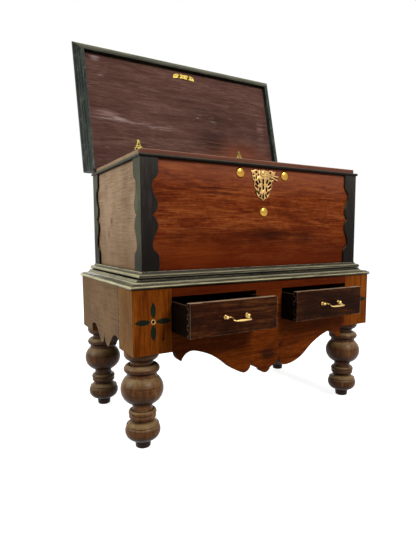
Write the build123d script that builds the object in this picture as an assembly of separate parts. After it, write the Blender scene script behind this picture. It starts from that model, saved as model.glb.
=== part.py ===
from build123d import *
from math import asin, atan2, cos, degrees, hypot, sin, sqrt
import os

# Dowry chest with a hinged lid on a two-drawer stand with turned legs.
# Sizes are in millimetres. X runs to the right, the front faces -Y and Z is up.
# The origin is on the floor under the middle of the stand.

# Turned legs
leg_height = 342.0
leg_radius = 74.0           # at the widest part of its upper ball
leg_inset_x = 58.7          # leg axis in from the end face of the stand
leg_inset_y = 78.2          # leg axis in from the front and rear faces of the stand
leg_tenon_radius = 22.0
leg_tenon_length = 60.0
tenon_ease = 0.05           # radial ease of a round tenon in its bore

# Stand carcass
stand_length = 1097.4
stand_depth = 618.4
stand_height = 590.0
stand_board = 28.0          # thickness of rails, stiles and aprons
post_width = 137.7          # corner post, seen from the front
post_depth = 140.0          # corner post, front to back
side_lap = 15.0             # how far a side apron laps into its posts
top_rail_height = 30.5
drawer_opening_height = 120.0
centre_stile_width = 123.0
rail_tenon_length = 80.0
rail_tenon_thick = 10.0
rail_tenon_shoulder = 10.0
apron_tenon_foot = 0.15     # foot of the front apron's tenons, as a share of its plain band
apron_tenon_head = 0.95     # and their head
stile_tenon_length = 14.0
peg_radius = 4.3
peg_proud = 0.6
peg_depth = 60.0
peg_inset = 31.0            # peg in from the joint it pins
peg_share = 0.737           # height of these pegs, as a share of the plain band
peg_low_x = 54.0            # third peg, low in the front apron
peg_low_drop = 37.0         # below the underside of the posts

# Scalloped aprons of the stand
scallop_end = 23.0          # plain length of the front apron beside each post
scallop_shift = -15.5       # the hand-cut centre of the front apron lies off the middle
front_drop = 135.0          # from the underside of the posts to the centre tip
side_drop = 21.5            # from the underside of the posts to the lobes of the sides

# Moulded top frame of the stand
frame_height = 30.0
frame_width = 88.0          # in from the stand's faces
frame_bead = 6.8            # how far its bead stands out from the stand's faces
frame_bead_height = 14.0
frame_setback = 26.7        # its top edge, in from the stand's faces

# Inlaid flowers on the front posts
flower_inset = 71.2         # flower's centre in from the end face of the stand
flower_lift = 1.0           # and above the middle of the post
flower_reach = 64.5         # centre to petal tip
petal_half_width = 10.0
petal_gap = 0.6             # between the eyelet and each petal
inlay_depth = 2.5
eyelet_radius = 8.5
eyelet_bore = 5.0
eyelet_depth = 9.0
eyelet_proud = 1.5

# Drawers
drawer_length = 520.0
drawer_side_gap = 2.75      # between the drawer and each side of its opening
drawer_top_gap = 6.5
drawer_lift = 1.5           # its underside above the drawer opening's lower edge
drawer_front_thick = 20.0
drawer_side_thick = 11.0
drawer_side_drop = 10.0     # its sides are lower than its front
drawer_back_inset = 12.0
drawer_bottom_thick = 6.0
drawer_bottom_lift = 8.0
drawer_groove = 5.0
left_pull = 127.0           # how far each drawer is drawn out
right_pull = 85.0
runner_gap = 0.3
runner_width = 25.0
runner_height = 22.0
guide_height = 30.0
kicker_height = 20.0
kicker_gap = 2.0

# Drawer handles
handle_spacing = 84.0
handle_drop = 53.5          # below the top edge of the drawer front
handle_reach = 11.0         # pivot of the bail in front of the drawer front
post_flange_radius = 7.4
post_flange_thick = 2.5
post_neck_radius = 4.4
post_ball_radius = 6.4
bail_radius = 2.6
bail_swell = 3.8            # radius at the middle of its bar
bail_pin_radius = 2.0
bail_ease = 0.06
bail_reach = 34.6
bail_tilt = 11.0            # degrees below the horizontal
bail_width = 63.0

# Chest box
chest_inset_x = 56.7        # its boards in from the end faces of the stand
chest_inset_y = 44.2        # and from the stand's front and rear faces
chest_height = 425.5
board = 24.0
bottom_thick = 16.0
bottom_lift = 12.0
bottom_groove = 8.0
tail_pitch = 85.0
tail_neck = 42.0
tail_flare = 6.0
drawer_tail_pitch = 34.0
drawer_tail_neck = 16.0
drawer_tail_flare = 2.5

# Plinth moulding and rim moulding of the chest
plinth_lift = 2.0
plinth_height = 22.5
plinth_out = 25.0
rim_drop = 27.0             # its underside below the top edge of the boards
rim_height = 11.0
rim_out = 13.5

# Corner mounts
mount_thick = 8.0
mount_width = 64.4          # from the chest's corner, over both thicknesses

# Lock plate, keyhole, its cover and the studs
plate_half = 60.0           # half its width over the top corners
plate_height = 116.6
plate_thick = 2.5
plate_top_drop = 8.5        # its top edge below the rim moulding
pierce_radius = 3.0         # wide ends of its pierced slots, and its eyes
pierce_small = 2.0          # narrow ends
keyhole_radius = 3.6
keyhole_top_drop = 44.0     # below the rim moulding
keyhole_length = 18.8
cover_x = -3.6              # pivot of the cover, left of the keyhole
cover_drop = 20.0           # and below the rim moulding
cover_length = 75.0
cover_half = 7.6            # half the spread of its prongs
cover_thick = 2.0
cover_gap = 0.3
cover_swing = 14.2          # degrees below the horizontal
cover_pin_radius = 2.5
cover_pin_ease = 0.05
cover_head_radius = 7.0
cover_head_height = 3.2
rivet_depth = 18.0
stud_radius = 15.0
stud_dome = 6.5
stud_shank = 3.0
stud_spacing = 209.0
stud_drop = 24.5            # upper studs below the rim moulding
stud_low_drop = 166.5       # lower stud below the rim moulding

# Lid
crest_out = 13.5            # outer face of the lid's crest, out from the side boards
crest_out_front = 14.0      # and out from the front board
crest_thick = 10.0
crest_gap = 0.5             # between the rim moulding and the closed lid
lid_height = 44.0
panel_thick = 20.0
lid_flare = 32.0            # how far the moulding stands out from the crest
lid_tail = 12.0             # how far the lid runs behind its hinge axis
lid_angle = 103.0           # how far the lid stands open
axis_behind = 7.0           # hinge axis behind the rear board
axis_above = 4.25           # hinge axis above the top edge of the boards
relief_gap = 0.35           # swept clearance of the lid's rear corners over the rim

# Hinges
hinge_x = 277.0
leaf_thick = 2.5
leaf_length = 26.0
hinge_width = 42.0
knuckle_radius = 3.9
pin_radius = 1.9
pin_ease = 0.05
knuckle_gap = 0.3
strap_bar = 7.0             # half the width of the strap's bar
strap_length = 158.0
strap_leg = 22.0            # half the spread of the finial's legs
screw_radius = 1.8
screw_head = 3.6
screw_length = 13.0

# Lock
lock_length = 100.0
lock_thick = 25.0
lock_let_in = 6.0           # how deep the case is let into the front board
lock_height = 125.0
lock_wall = 2.5
lock_cover_thick = 2.5
staple_x = 25.0
staple_thick = 3.0
staple_width = 11.0
staple_hang = 18.0
staple_bar = 2.5
staple_foot = 3.0
staple_ease = 1.5
bolt_thick = 5.0
bolt_throw = 10.0
bolt_ease = 0.3
link_length = 114.0
link_width = 23.0
link_margin = 9.25          # from its rear edge to the middle of the staples

# Derived levels and faces
stand_x = stand_length / 2
stand_y = stand_depth / 2
leg_x = stand_x - leg_inset_x
leg_y = stand_y - leg_inset_y
post_x = stand_x - post_width
frame_z = stand_height - frame_height
open_top = frame_z - top_rail_height
open_foot = open_top - drawer_opening_height
flower_x = stand_x - flower_inset
flower_z = (leg_height + frame_z) / 2 + flower_lift
stile_x = centre_stile_width / 2
drawer_z = open_foot + drawer_lift
drawer_x = (stile_x + post_x) / 2
drawer_width = post_x - stile_x - 2 * drawer_side_gap
drawer_height = drawer_opening_height - drawer_lift - drawer_top_gap
chest_length = stand_length - 2 * chest_inset_x
chest_depth = stand_depth - 2 * chest_inset_y
chest_x = chest_length / 2
chest_y = chest_depth / 2
chest_top = stand_height + chest_height
inner_x = chest_x - board
inner_y = chest_y - board
plinth_z = stand_height + plinth_lift
plinth_top = plinth_z + plinth_height
rim_z = chest_top - rim_drop
rim_top = rim_z + rim_height
axis_y = chest_y + axis_behind
axis_z = chest_top + axis_above
crest_z = rim_top + crest_gap
crest_x = chest_x + crest_out - crest_thick
panel_z = crest_z + lid_height - panel_thick
crest_y = -chest_y - crest_out_front + crest_thick
hinge_axis = Axis((0, axis_y, axis_z), (1, 0, 0))


def block(x0, x1, y0, y1, z0, z1):
    """Rectangular block between two corners."""
    middle = Pos((x0 + x1) / 2, (y0 + y1) / 2, (z0 + z1) / 2)
    return middle * Box(x1 - x0, y1 - y0, z1 - z0)


def trace(points):
    """Closed face: a pair ends a straight edge, a four is an arc through a point to its end."""
    edges = []
    here = points[0]
    for step in [*points[1:], points[0]]:
        end = step[-2:]
        if len(step) == 4:
            edges.append(ThreePointArc(here, step[:2], end))
        elif end != here:
            edges.append(Line(here, end))
        here = end
    return make_face(edges)


def along_y(face, y0, y1):
    """Solid of an outline drawn in X and Z, between two depths."""
    return extrude(Plane((0, y1, 0), x_dir=(1, 0, 0), z_dir=(0, -1, 0)) * face, y1 - y0)


def along_x(face, x0, x1):
    """Solid of an outline drawn in Y and Z, between two widths."""
    return extrude(Plane((x0, 0, 0), x_dir=(0, 1, 0), z_dir=(1, 0, 0)) * face, x1 - x0)


def along_z(face, z0, z1):
    """Solid of an outline drawn in X and Y, between two heights."""
    return extrude(Plane((0, 0, z0)) * face, z1 - z0)


def turned(points):
    """Solid turned about Z from half a section given as radius and height."""
    return revolve(Plane.XZ * trace(points), Axis.Z)


def dome(radius, base, height):
    """Arc of a spherical dome over a turned piece, from its rim to its top on the axis."""
    ball = (radius ** 2 + height ** 2) / (2 * height)
    half = asin(radius / ball) / 2
    return (ball * sin(half), base + height - ball + ball * cos(half), 0, base + height)


def facing(solid, x, y, z):
    """Turns a solid made about Z so that its top faces the front, and puts it in place."""
    return Pos(x, y, z) * Rot(90, 0, 0) * solid


def both(solid):
    """A solid and its mirror image on the other side of the middle."""
    return [solid, mirror(solid, about=Plane.YZ)]


def backwards(steps):
    """The same outline run from its end to its start, without its last point."""
    ends = [step[-2:] for step in steps]
    return [(*steps[i][:2], *ends[i - 1]) if len(steps[i]) == 4 else ends[i - 1]
            for i in range(len(steps) - 1, 0, -1)]


def flipped(steps, across, up):
    """Outline with its first coordinates multiplied by one number and its second by another."""
    return [tuple(value * (up if index % 2 else across) for index, value in enumerate(step)) for step in steps]


def mirrored(right_half):
    """Outline points of a whole shape from its right half, listed from bottom to top."""
    left = flipped(right_half, -1, 1)
    start = [left[-1][-2:]] if left[-1][-2] else []
    return [*right_half, *start, *backwards(left)]


def save(name, *pieces):
    """Writes one node, as one solid or as a group of separate solids."""
    solids = [solid for piece in pieces for solid in piece.solids()]
    export_step(solids[0] if len(solids) == 1 else Compound(solids), f"parts/{name}.step")


def mitred(section, half_x, half_y, inside, outside, z0, z1):
    """Four mitred strips round a rectangle; the section is drawn as outward and height."""
    strips = []
    for turn in (0, 90, 180, 270):
        run, side = (half_y, half_x) if turn in (90, 270) else (half_x, half_y)
        bar = extrude(Plane((run + outside, -side, 0), (0, -1, 0), (-1, 0, 0)) * section, 2 * (run + outside))
        ends = [(-run - inside, -side - inside), (run + inside, -side - inside)]
        ends += [(run + outside, -side - outside), (-run - outside, -side - outside)]
        strips.append(Rot(0, 0, turn) * (bar & along_z(trace(ends), z0 - 1, z1 + 1)))
    return strips


def tails(x0, x1, root, end, z0, z1, pitch, neck, flare):
    """Row of dovetails along Y from root to end, between two heights."""
    count = max(1, round((z1 - z0) / pitch))
    step = (z1 - z0) / count
    row = []
    for index in range(count):
        z = z0 + step * (index + 0.5)
        low, high = z - neck / 2, z + neck / 2
        face = trace([(root, low), (end, low - flare), (end, high + flare), (root, high)])
        row.append(along_x(face, x0, x1))
    return row


def screw(x, y, z, downwards=True):
    """Countersunk screw whose flat head lies at z; it points down, or up into a panel."""
    body = turned([(0, 0), (screw_head, 0), (screw_head, -0.4), (screw_radius, -2.2),
                   (screw_radius, 2 - screw_length), (0, -screw_length)])
    return Pos(x, y, z) * (body if downwards else Rot(180, 0, 0) * body)


# ---- Stand ----

def leg_solid():
    """Turned leg: its profile runs up as shares of its largest radius and of its height."""

    def at(*shares):
        return tuple(share * (leg_height if index % 2 else leg_radius) for index, share in enumerate(shares))

    foot = [at(0, 0), at(0.304, 0), at(0.338, 0.0047, 0.355, 0.016), at(0.389, 0.082)]
    lower_ball = [at(0.830, 0.175, 0.747, 0.234), at(0.766, 0.241, 0.715, 0.246), at(0.625, 0.264, 0.5, 0.281)]
    rings = [at(0.489, 0.289), at(0.51, 0.296), at(0.612, 0.308, 0.641, 0.328), at(0.636, 0.34), at(0.622, 0.346),
             at(0.641, 0.352), at(0.657, 0.364, 0.649, 0.374), at(0.605, 0.391, 0.493, 0.398)]
    upper_ball = [at(0.468, 0.430, 0.493, 0.459), at(1.0, 0.599, 0.723, 0.74)]
    collar = [at(0.709, 0.746), at(0.704, 0.757), at(0.714, 0.777, 0.769, 0.789), at(0.838, 0.818, 0.796, 0.842),
              at(0.702, 0.862, 0.541, 0.868), at(0.536, 0.909)]
    cap = [at(0.547, 0.909), at(0.76, 0.934, 0.816, 0.958), at(0.824, 0.98, 0.815, 1.0)]
    top = leg_height + leg_tenon_length
    tenon = [(leg_tenon_radius, leg_height), (leg_tenon_radius, top), (0, top)]
    return turned([*foot, *lower_ball, *rings, *upper_ball, *collar, *cap, *tenon])


def front_apron_solid(y0, y1):
    """Scalloped apron between two posts: its outline is in shares of its half length and drop."""
    span = post_x - scallop_end

    def at(x, drop):
        return (x * span, leg_height - drop * front_drop)

    def lobe(side, x, drop):
        return (scallop_shift + side * x * span, leg_height - drop * front_drop)

    def half(side, hook):
        arch = [(*at(side * 0.652, 0.254), *at(side * 0.505, 0.541)),
                (*at(side * 0.451, 0.667), *lobe(side, 0.266, 0.885))]
        lobes = [(*lobe(side, 0.222, 0.863), *lobe(side, 0.191, 0.785)),
                 (*lobe(side, 0.178, 0.689), *lobe(side, 0.174, 0.567)),
                 (*lobe(side, 0.152, 0.719), *lobe(side, 0.119, 0.8)), lobe(side, 0.059, 0.874),
                 (*lobe(side, 0.036, 0.97), *lobe(side, 0, 1))]
        return [*hook, *arch, *lobes]

    right = half(1, [at(0.995, 0), at(0.995, 0.23), (*at(0.987, 0.285), *at(0.969, 0.3)), at(0.938, 0.289),
                     (*at(0.9, 0.178), *at(0.812, 0.074))])
    left = half(-1, [at(-1.021, 0), (*at(-1.008, 0.178), *at(-0.97, 0.278)),
                     (*at(-0.943, 0.148), *at(-0.827, 0.059))])
    path = [(post_x, open_foot), (post_x, leg_height), *right,
            *backwards(left), (-post_x, leg_height), (-post_x, open_foot)]
    band = open_foot - leg_height
    tenon = block(-post_x - rail_tenon_length, post_x + rail_tenon_length,
                  (y0 + y1 - rail_tenon_thick) / 2, (y0 + y1 + rail_tenon_thick) / 2,
                  leg_height + apron_tenon_foot * band, leg_height + apron_tenon_head * band)
    hole = block(-post_x + 1, post_x - 1, y0 - 1, y1 + 1, leg_height, open_foot)
    return along_y(trace(path), y0, y1) + (tenon - hole)


def side_apron_solid(x0, x1):
    """Scalloped side board that laps into the corner posts; its lobes are in shares of their drop."""
    reach = stand_y - post_depth + side_lap

    def at(y, rise, start=0):
        return (start + y * side_drop, leg_height + rise * side_drop)

    half = [at(0, 1.116), (*at(0.409, -0.177), *at(1.488, -1)), (*at(2.326, -0.791), *at(2.884, -0.186)),
            at(4.186, 0.884), (*at(-2.233, 1.795, reach), *at(-1.023, 1.442, reach)),
            (*at(-0.326, 0.744, reach), *at(0, 0, reach)), (reach, frame_z)]
    return along_x(trace(mirrored(half)), x0, x1)


def petal(angle):
    """Pointed lens from the eyelet to the petal tip."""
    near = eyelet_radius + petal_gap
    middle = (near + flower_reach) / 2
    lens = trace([(near, 0), (middle, petal_half_width, flower_reach, 0), (middle, -petal_half_width, near, 0)])
    return Rot(0, 0, angle) * lens


def stand():
    """Legs, posts, rails, aprons, runners, pegs, inlay and the moulded top frame."""
    leg = leg_solid()
    bore = Cylinder(leg_tenon_radius + tenon_ease, leg_tenon_length, align=(Align.CENTER, Align.CENTER, Align.MIN))
    front, back = -stand_y, -stand_y + stand_board
    apron = front_apron_solid(front, back)
    rear = mirror(apron, about=Plane.XZ)
    side = side_apron_solid(stand_x - stand_board, stand_x)
    sides = both(side)
    middle = (front + back) / 2
    thick = rail_tenon_thick / 2
    rail = block(-post_x, post_x, front, back, open_top, frame_z)
    rail += block(-post_x - rail_tenon_length, post_x + rail_tenon_length, middle - thick, middle + thick,
                  open_top + rail_tenon_shoulder, frame_z)
    rear_rail = block(-post_x, post_x, -back, -front, open_foot, frame_z)
    rear_rail += block(-post_x - rail_tenon_length, post_x + rail_tenon_length, -middle - thick, -middle + thick,
                       open_top + rail_tenon_shoulder, frame_z)
    rear += rear_rail
    stile = block(-stile_x, stile_x, front, back, open_foot, open_top)
    stile += block(-stile_x + rail_tenon_shoulder, stile_x - rail_tenon_shoulder, middle - thick, middle + thick,
                   open_foot - stile_tenon_length, open_top + stile_tenon_length)
    peg = Cylinder(peg_radius, peg_depth + peg_proud, align=(Align.CENTER, Align.CENTER, Align.MIN))
    short = Cylinder(peg_radius, stand_board + peg_proud, align=(Align.CENTER, Align.CENTER, Align.MIN))
    peg_z = leg_height + peg_share * (open_foot - leg_height)
    pegs = [facing(peg, side_x * (post_x + peg_inset), front + peg_depth, peg_z) for side_x in (-1, 1)]
    pegs.append(facing(short, peg_low_x, back, leg_height - peg_low_drop))
    lens = [petal(turn) for turn in (0, 90, 180, 270)]
    petals = [along_y(Pos(side_x * flower_x, flower_z) * face, front, front + inlay_depth)
              for side_x in (-1, 1) for face in lens]
    ring = Cylinder(eyelet_radius, eyelet_depth + eyelet_proud) - Cylinder(eyelet_bore, eyelet_depth + eyelet_proud)
    ring = chamfer(ring.faces().sort_by(Axis.Z)[-1].edges(), 0.8)
    eyelets = [facing(ring, side_x * flower_x, front + (eyelet_depth - eyelet_proud) / 2, flower_z) for side_x in (-1, 1)]
    eye_bore = Cylinder(eyelet_radius, eyelet_depth, align=(Align.CENTER, Align.CENTER, Align.MIN))
    block_cut = [apron, rear, *sides, rail, *pegs, *petals]
    names = {(-1, -1): "front_left", (1, -1): "front_right", (-1, 1): "rear_left", (1, 1): "rear_right"}
    for (sx, sy), name in names.items():
        save(f"leg_{name}", Pos(sx * leg_x, sy * leg_y, 0) * leg)
        xs, ys = sorted((sx * post_x, sx * stand_x)), sorted((sy * (stand_y - post_depth), sy * stand_y))
        post = block(*xs, *ys, leg_height, frame_z) - Pos(sx * leg_x, sy * leg_y, leg_height) * bore
        for cutter in block_cut:
            post -= cutter
        if sy < 0:
            post -= facing(eye_bore, sx * flower_x, front + eyelet_depth, flower_z)
        save(f"corner_post_{name}", post)
    save("front_apron", apron - stile - pegs[0] - pegs[1] - pegs[2])
    save("rear_apron", rear)
    save("left_apron", sides[1])
    save("right_apron", sides[0])
    save("stand_top_rail", rail - stile)
    save("centre_stile", stile)
    save("joint_pegs", *pegs)
    save("inlay_petals", *petals)
    save("inlay_eyelets", *eyelets)
    f, w, b, s = frame_z, frame_width, frame_bead, frame_setback
    bead_top = f + frame_bead_height
    section = trace([(-w, f), (b - 6, f), (b, f + frame_bead_height / 2, b - 6, bead_top), (b - 9.5, bead_top),
                     (b - 9.5, bead_top + 3), (-s + 7, bead_top + 6, -s, stand_height - 3), (-s, stand_height),
                     (-w, stand_height)])
    save("stand_moulding", *mitred(section, stand_x, stand_y, -w, b + 2, f, stand_height))
    runner_z = drawer_z - runner_gap
    outer = block(post_x - runner_width, post_x, back, -back, runner_z - runner_height, runner_z)
    centre = block(-stile_x - runner_width, stile_x + runner_width, back, -back, runner_z - runner_height, runner_z)
    guide_x = drawer_x - drawer_width / 2 - runner_gap
    centre += block(-guide_x, guide_x, back, -back, runner_z, runner_z + guide_height)
    kick_z = drawer_z + drawer_height - drawer_side_drop + kicker_gap
    kicker = block(-stile_x - runner_width, stile_x + runner_width, back, -back, kick_z, kick_z + kicker_height)
    save("drawer_runners", *both(outer), centre, kicker)


# ---- Drawers ----

def bail_solid():
    """Swan-necked bail about the X axis, lying forward, with a pin at each end."""
    half, reach = handle_spacing / 2, bail_reach
    inner, bar = half - post_ball_radius - 8, bail_width / 2
    corners = [(-inner - 6, 0), (-inner, 0), (-inner + 3, reach * 0.3), (-bar - 1, reach * 0.72), (-bar + 3, reach),
               (bar - 3, reach), (bar + 1, reach * 0.72), (inner - 3, reach * 0.3), (inner, 0), (inner + 6, 0)]
    path = FilletPolyline(corners, radius=[2.8, 4.5, 3.5, 3.5, 3.5, 3.5, 4.5, 2.8])
    wire = sweep(Plane(path @ 0, z_dir=path % 0) * Circle(bail_radius), path)
    thin, end = bail_radius - 0.2, bar - 5
    spindle = turned([(0, -end), (thin, -end), (bail_swell, 0, thin, end), (0, end)])
    length = half - inner - 6 + post_ball_radius - 1
    pin = Rot(0, 90, 0) * Cylinder(bail_pin_radius, length)
    pins = [Pos(side * (inner + 6 + length / 2), 0, 0) * pin for side in (-1, 1)]
    whole = wire + Pos(0, reach, 0) * Rot(0, 90, 0) * spindle + pins[0] + pins[1]
    return Rot(bail_tilt, 0, 0) * Rot(0, 0, 180) * whole


def drawer(name, middle, pull):
    """One drawer with its dovetailed sides, back, bottom, handle posts and bail."""
    half = drawer_width / 2
    front = -stand_y - pull
    inside = front + drawer_front_thick
    end = front + drawer_length
    side_top = drawer_z + drawer_height - drawer_side_drop
    tail_end = front + drawer_front_thick - drawer_side_thick
    x0, x1 = middle - half, middle + half
    low = drawer_z + drawer_bottom_lift
    panel = block(x0 + drawer_side_thick - drawer_groove, x1 - drawer_side_thick + drawer_groove,
                  inside - drawer_groove, end - drawer_back_inset, low, low + drawer_bottom_thick)
    face = block(x0, x1, front, inside, drawer_z, drawer_z + drawer_height) - panel
    sides = []
    for edge, inner in ((x0, x0 + drawer_side_thick), (x1 - drawer_side_thick, x1)):
        side = block(edge, inner, inside, end, drawer_z, side_top) - panel
        for tail in tails(edge, inner, inside, tail_end, drawer_z, side_top, drawer_tail_pitch, drawer_tail_neck,
                          drawer_tail_flare):
            side += tail - panel
            face -= tail
        sides.append(side)
    back = block(x0 + drawer_side_thick, x1 - drawer_side_thick, end - drawer_back_inset - drawer_side_thick,
                 end - drawer_back_inset, low + drawer_bottom_thick, side_top)
    pivot_z = drawer_z + drawer_height - handle_drop
    pivot_y = front - handle_reach
    r, f, n = post_ball_radius, post_flange_radius, post_neck_radius
    shank, thick = drawer_front_thick, post_flange_thick
    seat = handle_reach - sqrt(r ** 2 - n ** 2)
    shape = turned([(0, -shank), (n - 1.4, -shank), (n - 1.4, 0), (f - 0.6, 0), (f, thick / 2, f - 0.6, thick),
                    (n + 0.6, thick + 0.6, n, thick + 1.6), (n, seat), (r, handle_reach, 0, handle_reach + r)])
    posts = [facing(shape, middle + offset, front, pivot_z) for offset in (-handle_spacing / 2, handle_spacing / 2)]
    for post in posts:
        face -= post
    bores = Pos(middle, pivot_y, pivot_z) * Rot(0, 90, 0) * Cylinder(bail_pin_radius + bail_ease, handle_spacing + 3 * r)
    posts = [post - bores for post in posts]
    bail = Pos(middle, pivot_y, pivot_z) * bail_solid()
    save(f"drawer_{name}_front", face)
    save(f"drawer_{name}_sides", *sides)
    save(f"drawer_{name}_back", back)
    save(f"drawer_{name}_bottom", panel)
    save(f"handle_{name}_posts", *posts)
    save(f"handle_{name}_bail", bail)


# ---- Chest ----

def mount_face():
    """Scalloped outline of one mount plate, in shares of its width and half height."""
    high = (rim_z - plinth_top) / 2

    def at(x, z):
        return (x * mount_width, z * high)

    upper = [at(0.6, 0), (*at(0.85, 0.075), *at(0.94, 0.175)), (*at(0.928, 0.24), *at(0.885, 0.275)), at(0.78, 0.345),
             (*at(0.685, 0.43), *at(0.64, 0.52)), (*at(0.66, 0.585), *at(0.735, 0.63)), at(0.895, 0.675),
             (*at(0.965, 0.715), *at(1, 0.76)), at(1, 1)]
    return trace([*upper, (0, high), (0, -high), at(1, -1), *backwards(flipped(upper, 1, -1))])


def mounts():
    """Front and side plates of each corner, mitred on the corner's diagonal."""
    middle = (rim_z + plinth_top) / 2
    flat = extrude(mount_face(), mount_thick)
    out_x, out_y = chest_x + mount_thick, chest_y + mount_thick
    front = Plane((out_x, -chest_y, middle), (-1, 0, 0), (0, 1, 0)) * mirror(flat, about=Plane.XY)
    side = Plane((chest_x, -out_y, middle), (0, 1, 0), (1, 0, 0)) * flat
    low, high = plinth_top - 1, rim_z + 1
    front_cut = along_z(trace([(chest_x, -chest_y), (out_x, -out_y), (out_x + 1, -out_y), (out_x + 1, -chest_y)]), low, high)
    side_cut = along_z(trace([(chest_x, -chest_y), (out_x, -out_y), (out_x, -out_y - 1), (chest_x, -out_y - 1)]), low, high)
    right = [front - front_cut, side - side_cut]
    left = [mirror(plate, about=Plane.YZ) for plate in right]
    save("corner_mount_front_right", *right)
    save("corner_mount_front_left", *left)
    save("corner_mount_rear_right", *[mirror(plate, about=Plane.XZ) for plate in right])
    save("corner_mount_rear_left", *[mirror(plate, about=Plane.XZ) for plate in left])


def keyhole(y0, y1):
    """Keyhole: a round eye over a slot that widens to its foot."""
    top = rim_z - keyhole_top_drop + keyhole_radius
    foot = rim_z - keyhole_top_drop - keyhole_length + 2 * keyhole_radius
    slot = trace([(-2, top - keyhole_radius), (-keyhole_radius, foot), (0, foot - keyhole_radius, keyhole_radius, foot),
                  (2, top - keyhole_radius)])
    eye = Pos(0, top - keyhole_radius, 0) * Circle(keyhole_radius)
    return along_y(slot + eye, y0, y1)


def teardrop(narrow, wide):
    """Tapered slot with round ends, from its narrow end to its wide end."""
    s, r = pierce_small, pierce_radius
    length = hypot(wide[0] - narrow[0], wide[1] - narrow[1])
    lean = (r - s) / (length - r - s)
    rise = sqrt(1 - lean ** 2)
    near, far = s - s * lean, length - r - r * lean
    face = trace([(near, -s * rise), (0, 0, near, s * rise), (far, r * rise), (length, 0, far, -r * rise)])
    return Pos(*narrow) * Rot(0, 0, degrees(atan2(wide[1] - narrow[1], wide[0] - narrow[0]))) * face


def escutcheon():
    """Pierced lock plate: its lobes, slots and eyes are placed in shares of its half width and height."""
    def at(x, drop):
        return (x * plate_half, rim_z - plate_top_drop - drop * plate_height)

    half = [at(0, 1), (*at(0.117, 0.933), *at(0.248, 0.909)), (*at(0.472, 0.807), *at(0.493, 0.654)),
            (*at(0.69, 0.549), *at(0.66, 0.387)), (*at(0.77, 0.352), *at(0.83, 0.272)),
            (*at(0.89, 0.137), *at(1, 0.013)), (*at(0.908, 0.038), *at(0.802, 0.036)),
            (*at(0.61, 0.003), *at(0.415, 0.033)), (*at(0.342, 0.026), *at(0.298, 0.003)),
            (*at(0.2, 0.029), *at(0.14, 0.039)), (*at(0.07, 0.012), *at(0, 0.004))]
    outer, inner = -chest_y - plate_thick - 1, -chest_y + 1
    plate = along_y(trace(mirrored(half)), -chest_y - plate_thick, -chest_y)
    slots = [(0, 0.587, 0, 0.507), (0, 0.762, 0, 0.894)]
    eyes = [(0, 0.959, pierce_small)]
    for side in (-1, 1):
        slots += [(side * 0.275, 0.41, side * 0.358, 0.317), (side * 0.423, 0.463, side * 0.573, 0.389),
                  (side * 0.427, 0.581, side * 0.615, 0.523), (side * 0.253, 0.582, side * 0.273, 0.685),
                  (side * 0.325, 0.776, side * 0.453, 0.696), (side * 0.16, 0.779, side * 0.258, 0.864)]
        eyes += [(side * 0.75, 0.166, pierce_radius), (side * 0.7, 0.279, pierce_radius),
                 (side * 0.55, 0.249, pierce_radius), (side * 0.372, 0.168, pierce_radius),
                 (side * 0.558, 0.079, 1.4 * pierce_radius)]
    for x0, drop0, x1, drop1 in slots:
        plate -= along_y(teardrop(at(x0, drop0), at(x1, drop1)), outer, inner)
    for x, drop, radius in eyes:
        plate -= along_y(Pos(*at(x, drop)) * Circle(radius), outer, inner)
    return plate - keyhole(outer, inner)


def cover_and_pivot():
    """Swinging keyhole cover with two prongs, and the domed rivet that carries it."""
    pivot_z = rim_z - cover_drop
    length, wide, head = cover_length, cover_half, cover_head_radius + 5
    slot = 1.5 * head
    prong = [(slot, 0.8), (length * 0.6, 1.4, length - 1.5, wide - 2.8), (length, wide, length - 3, wide + 1.8),
             (length * 0.6, 6.2, 1.6 * head, 6.6), (0.9 * head, 0.9 * head, 0, head)]
    leaf = trace([(0, -head), *backwards(flipped(prong, 1, -1)), (slot - 1.5, 0, slot, 0.9), *prong[1:],
                  (-head, 0, 0, -head)])
    leaf -= Circle(cover_pin_radius + cover_pin_ease)
    face = -chest_y - plate_thick - cover_gap
    swung = Pos(cover_x, pivot_z, 0) * Rot(0, 0, -cover_swing) * leaf
    cover = along_y(swung, face - cover_thick, face)
    head = plate_thick + cover_gap * 2 + cover_thick
    rivet = turned([(0, -rivet_depth), (cover_pin_radius, -rivet_depth), (cover_pin_radius, head),
                    (cover_head_radius, head), (cover_head_radius, head + 0.8),
                    dome(cover_head_radius, head + 0.8, cover_head_height - 0.8)])
    return cover, facing(rivet, cover_x, -chest_y, pivot_z)


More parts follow.
